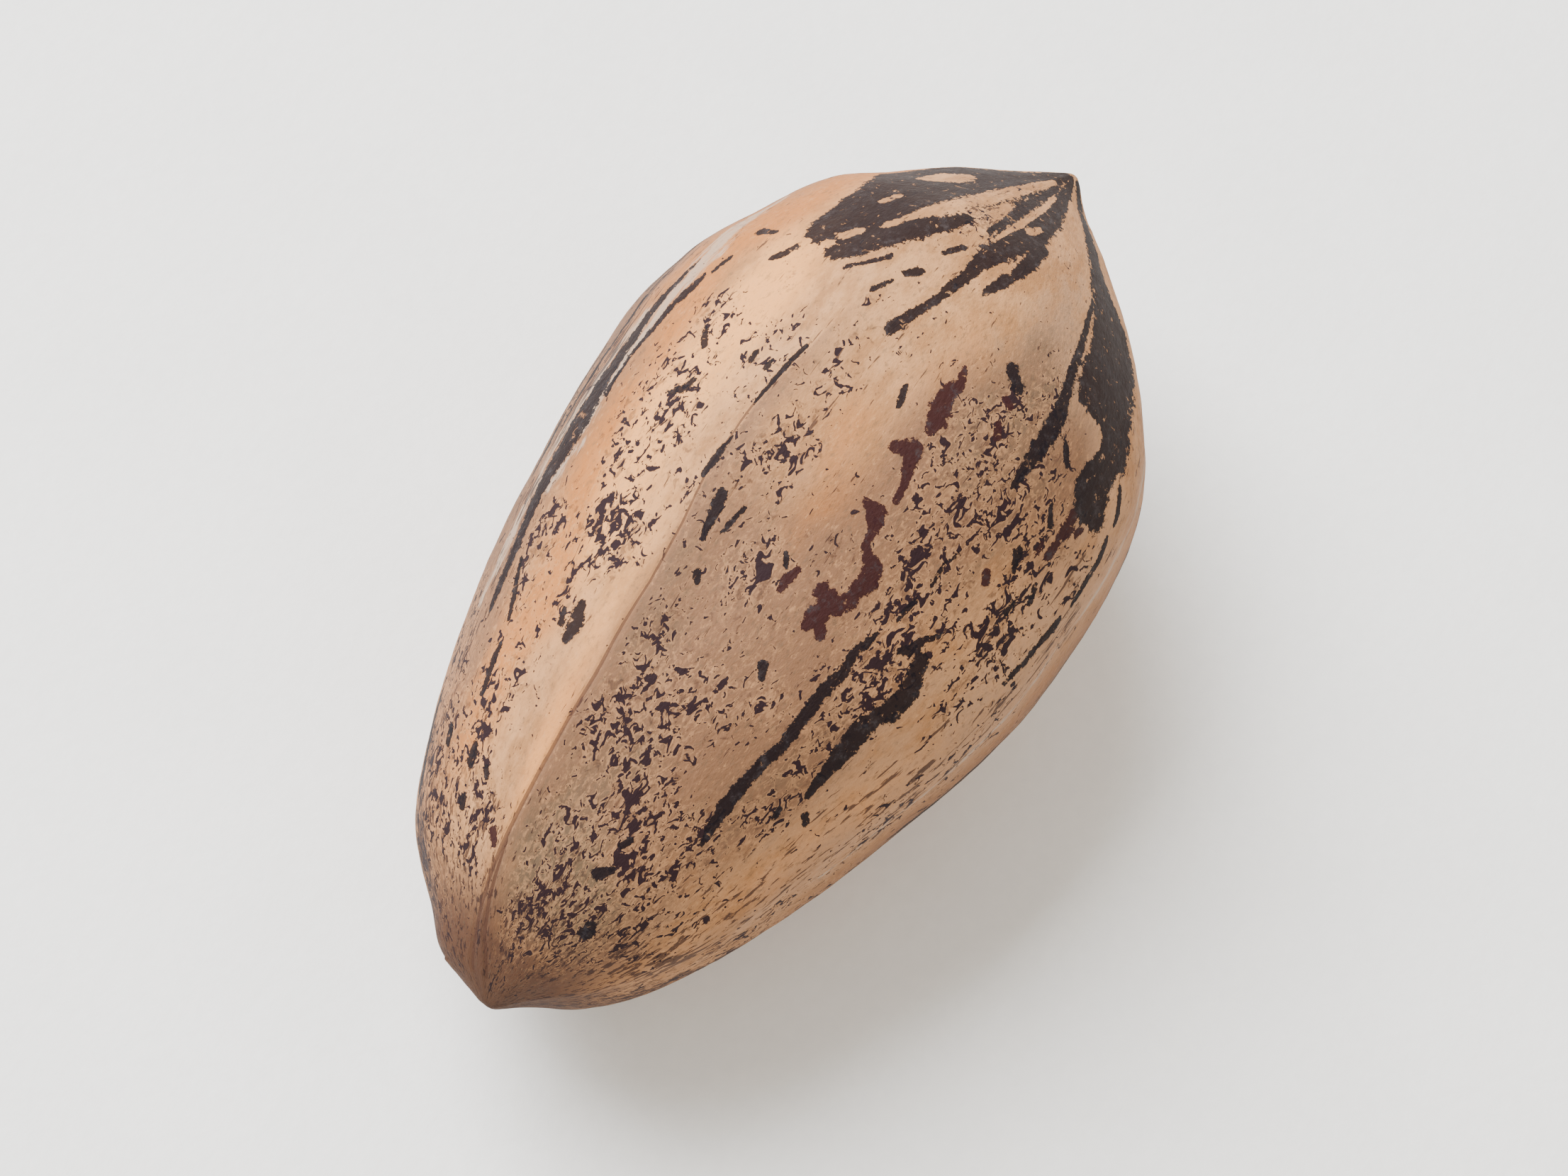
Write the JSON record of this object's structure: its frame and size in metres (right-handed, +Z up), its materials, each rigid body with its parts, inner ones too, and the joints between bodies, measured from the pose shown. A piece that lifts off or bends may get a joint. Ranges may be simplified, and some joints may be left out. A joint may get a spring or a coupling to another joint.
{
  "type": "pecan in shell",
  "caption": "Whole pecan nut in its shell, egg-shaped with a pointed tip and blunt lengthwise ridges, lying on a small flat spot under its belly.",
  "frame": {"origin": "under the middle of the nut's box, on the surface that it lies on", "axes": "+X along the nut towards its pointed tip, +Y to the nut's left, +Z up from the surface"},
  "size_m": [0.0448, 0.024, 0.0231],
  "materials": {
    "shell": "matte"
  },
  "bodies": {
    "root": {"pecan_in_shell": "shell"}
  },
  "joints": []
}
